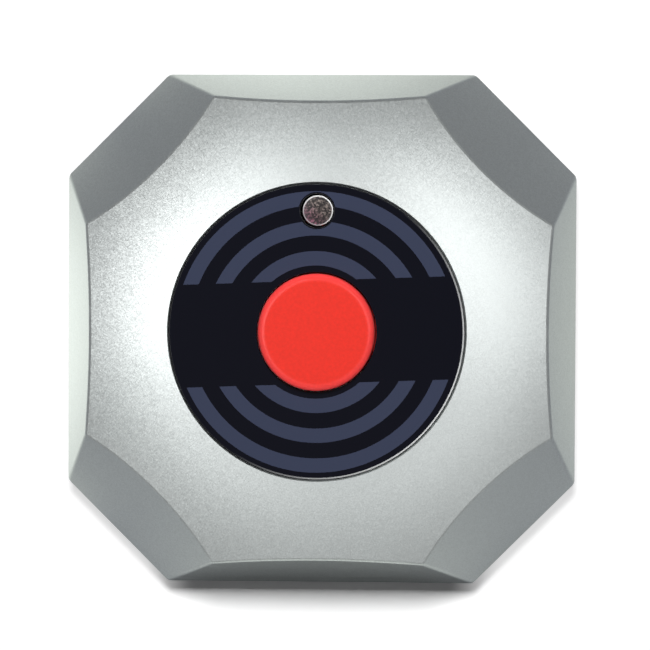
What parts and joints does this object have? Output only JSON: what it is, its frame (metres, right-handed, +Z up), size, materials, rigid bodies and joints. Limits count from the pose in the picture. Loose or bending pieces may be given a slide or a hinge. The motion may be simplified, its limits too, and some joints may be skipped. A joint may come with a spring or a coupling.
{
  "type": "waiter call button",
  "caption": "Low faceted silver table call transmitter with a glossy black round panel, a red push button, an indicator lamp and a sliding battery door underneath.",
  "frame": {"origin": "on the table under the middle of the case, in the plane of the rubber feet's undersides", "axes": "+Z up along the button's travel axis, out of the face; +Y towards the indicator lamp; the battery door slides out towards -Y"},
  "size_m": [0.085, 0.085, 0.0226],
  "materials": {
    "silver_paint": "metallic silver paint with a fine grain",
    "dark_shell": "fine moulded texture",
    "black_panel": "polished, with slate-grey printed arcs",
    "adhesive_tape": "matte",
    "red_button": "satin gloss",
    "spring_steel": "bright wire",
    "led_epoxy": "clear moulded epoxy",
    "tinned_metal": "tinned",
    "black_nylon": "moulded",
    "circuit_board": "green solder mask",
    "chip_black": "moulded epoxy",
    "can_aluminium": "bright can",
    "ceramic_tan": "fired ceramic",
    "antenna_copper": "enamelled copper wire",
    "battery_jacket": "printed metal jacket, bare of words",
    "screw_steel": "zinc plated",
    "foot_rubber": "matte"
  },
  "bodies": {
    "housing": {"top_cover": "silver_paint", "base_cover": "dark_shell", "face_disc": "black_panel", "disc_adhesive": "adhesive_tape", "button_spring": "spring_steel", "indicator_led": "led_epoxy", "led_leads": "tinned_metal", "led_spacer": "black_nylon", "circuit_board": "circuit_board", "switch_body": "black_nylon", "switch_cover": "tinned_metal", "switch_legs": "tinned_metal", "encoder_chip": "chip_black", "chip_leads": "tinned_metal", "saw_resonator": "tinned_metal", "rf_transistor": "chip_black", "electrolytic_capacitor": "can_aluminium", "chip_resistors": "chip_black", "chip_capacitors": "ceramic_tan", "antenna_coil": "antenna_copper", "battery": "battery_jacket", "negative_contact": "spring_steel", "positive_contact": "spring_steel", "case_screws": "screw_steel", "board_screws": "screw_steel", "rubber_feet": "foot_rubber"},
    "push_button": {"call_button": "red_button"},
    "plunger": {"switch_plunger": "black_nylon"},
    "door": {"battery_door": "dark_shell"}
  },
  "joints": [
    {"name": "button_press", "type": "slide", "parent": "housing", "child": "push_button", "axis": [0, 0, -1], "range_m": [0, 0.0008], "stiffness_N_per_m": 600, "springref_m": -0.002, "deforming": ["button_spring"]},
    {"name": "plunger_press", "type": "slide", "parent": "housing", "child": "plunger", "axis": [0, 0, -1], "range_m": [0, 0.0004]},
    {"name": "door_slide", "type": "slide", "parent": "housing", "child": "door", "axis": [0, -1, 0], "range_m": [0, 0.022]}
  ],
  "couplings": [
    {"joint": "plunger_press", "follows": "button_press", "ratio": 0.5}
  ]
}
